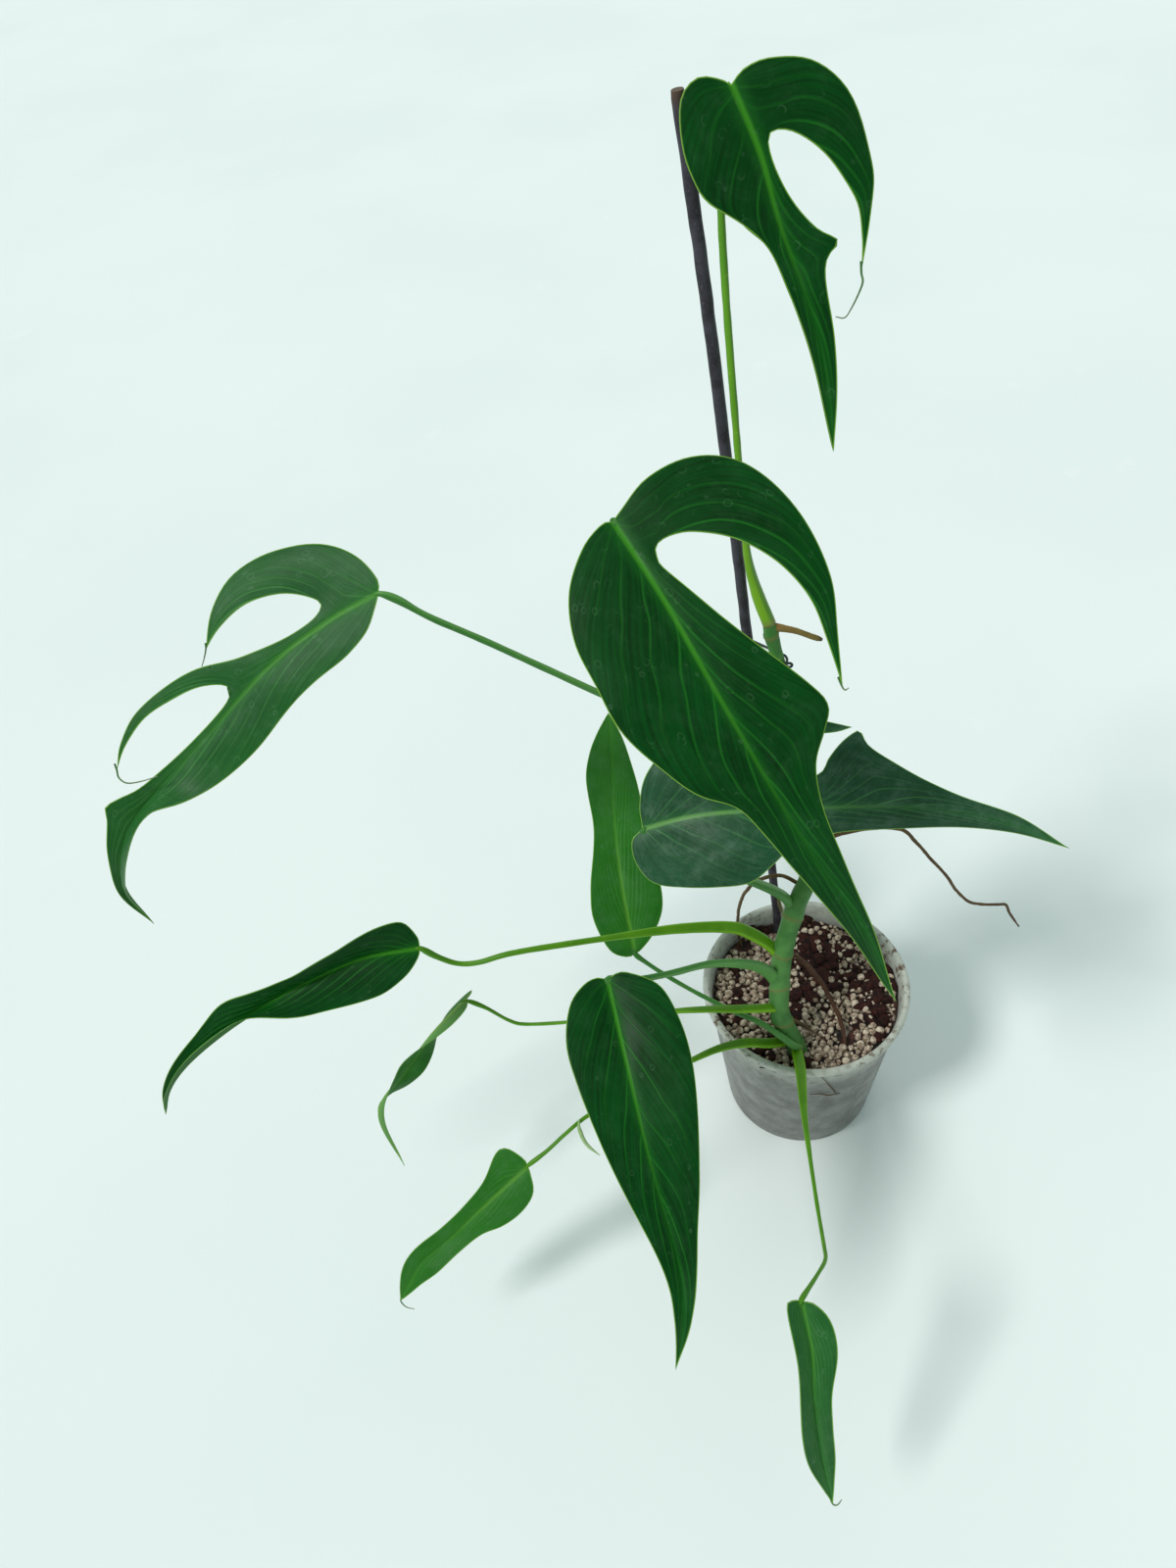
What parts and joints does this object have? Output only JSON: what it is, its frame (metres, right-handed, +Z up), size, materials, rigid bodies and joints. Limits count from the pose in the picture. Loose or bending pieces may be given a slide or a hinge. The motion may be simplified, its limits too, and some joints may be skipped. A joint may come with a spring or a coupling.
{
  "type": "potted burle marx flame monstera",
  "caption": "Young climbing aroid with deeply slit and narrow plain leaves on long stalks, tied to a slim stake in a clear nursery pot of bark and perlite.",
  "frame": {"origin": "centre of the pot's base, on the surface that it stands on", "axes": "+Z up, +X to the right and +Y to the back, as the plant is seen from its front"},
  "size_m": [0.4339, 0.3524, 0.535],
  "materials": {
    "pot": "frosted translucent moulded plastic",
    "substrate": "moist bark chunks with pale perlite grains",
    "stem": "matte grey-green skin with brown leaf scars",
    "stake": "dark weathered stick",
    "tie": "thin coated wire",
    "petiole": "smooth satin green stalk",
    "blade": "satin deep green leaf",
    "young_blade": "satin mid-green leaf",
    "root": "dry brown aerial root"
  },
  "bodies": {
    "root": {"pot": "pot", "substrate": "substrate", "stem": "stem", "stake": "stake", "tie": "tie", "petiole_top": "petiole", "petiole_big": "petiole", "petiole_far": "petiole", "petiole_right": "petiole", "petiole_left": "petiole", "petiole_front": "petiole", "petiole_bottom": "petiole", "petiole_low": "petiole", "petiole_upright": "petiole", "petiole_twisted": "petiole", "blade_top": "blade", "blade_big": "blade", "blade_far": "blade", "blade_right": "blade", "blade_left": "blade", "blade_front": "blade", "blade_upright": "young_blade", "blade_low": "young_blade", "blade_bottom": "young_blade", "blade_twisted": "young_blade", "root_stub": "root", "root_wiry": "root", "root_arc": "root", "root_brown": "root"}
  },
  "joints": []
}
